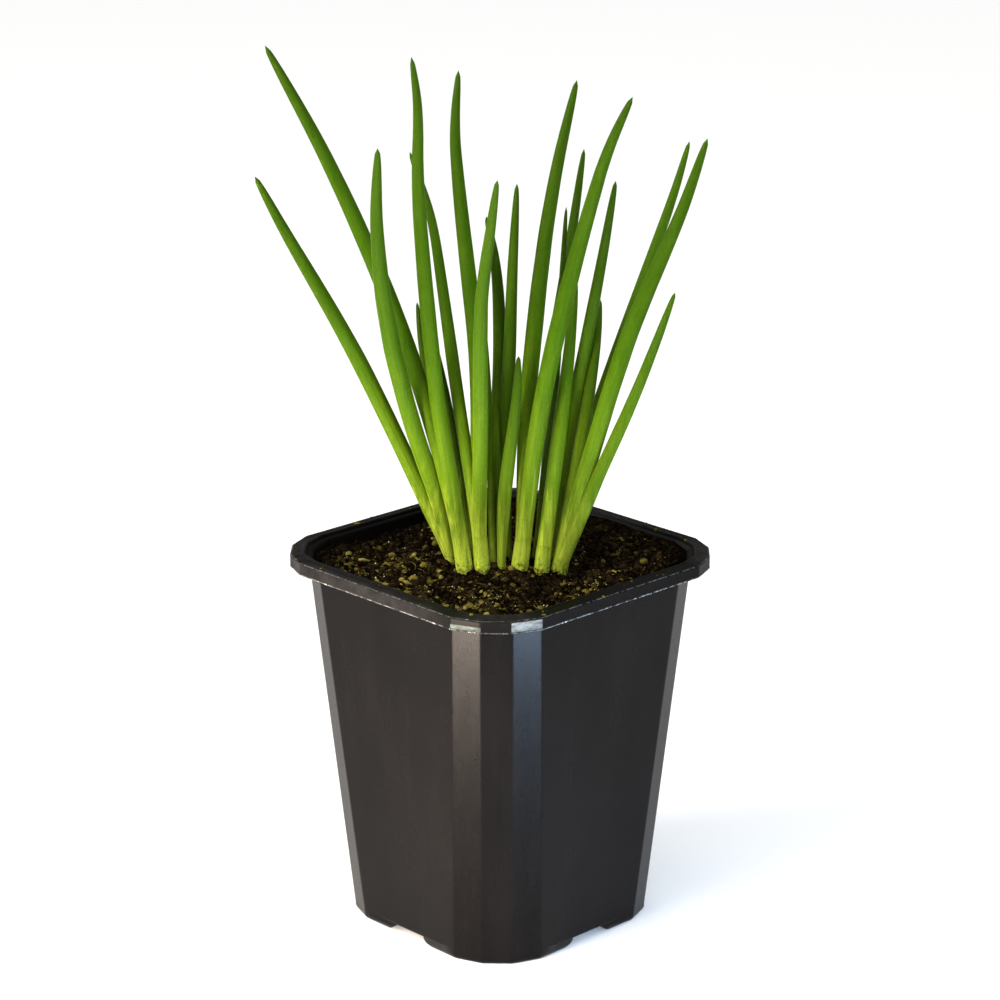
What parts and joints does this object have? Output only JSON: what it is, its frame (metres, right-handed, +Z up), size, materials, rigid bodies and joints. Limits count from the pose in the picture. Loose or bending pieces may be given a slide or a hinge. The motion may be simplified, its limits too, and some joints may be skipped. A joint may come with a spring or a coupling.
{
  "type": "potted welsh onions",
  "caption": "Clump of young welsh onions with round green leaves, growing in compost in a black square plastic nursery pot.",
  "frame": {"origin": "on the ground under the middle of the pot's base", "axes": "+Z up, the pot's sides along X and Y; the leaves fan out along the diagonal from -X-Y to +X+Y"},
  "size_m": [0.1075, 0.1075, 0.28],
  "materials": {
    "pot_plastic": "satin moulded black polypropylene with scuffed edges",
    "compost": "moist crumbly peat-free compost with bark chips, grit and fine roots",
    "shoot": "smooth waxy pale green stalk",
    "leaf": "waxy green leaf with a grey bloom and fine lengthwise veins"
  },
  "bodies": {
    "root": {"pot": "pot_plastic", "compost": "compost", "shoot_1": "shoot", "shoot_1_leaf_1": "leaf", "shoot_1_leaf_2": "leaf", "shoot_2": "shoot", "shoot_2_leaf_1": "leaf", "shoot_2_leaf_2": "leaf", "shoot_3": "shoot", "shoot_3_leaf_1": "leaf", "shoot_3_leaf_2": "leaf", "shoot_4": "shoot", "shoot_4_leaf_1": "leaf", "shoot_4_leaf_2": "leaf", "shoot_4_leaf_3": "leaf", "shoot_5": "shoot", "shoot_5_leaf_1": "leaf", "shoot_6": "shoot", "shoot_6_leaf_1": "leaf", "shoot_7": "shoot", "shoot_7_leaf_1": "leaf", "shoot_8": "shoot", "shoot_8_leaf_1": "leaf", "shoot_9": "shoot", "shoot_9_leaf_1": "leaf", "shoot_9_leaf_2": "leaf", "shoot_10": "shoot", "shoot_10_leaf_1": "leaf", "shoot_11": "shoot", "shoot_11_leaf_1": "leaf", "shoot_11_leaf_2": "leaf", "shoot_11_leaf_3": "leaf", "shoot_12": "shoot", "shoot_12_leaf_1": "leaf", "shoot_12_leaf_2": "leaf", "shoot_12_leaf_3": "leaf", "shoot_13": "shoot", "shoot_13_leaf_1": "leaf", "shoot_13_leaf_2": "leaf"}
  },
  "joints": []
}
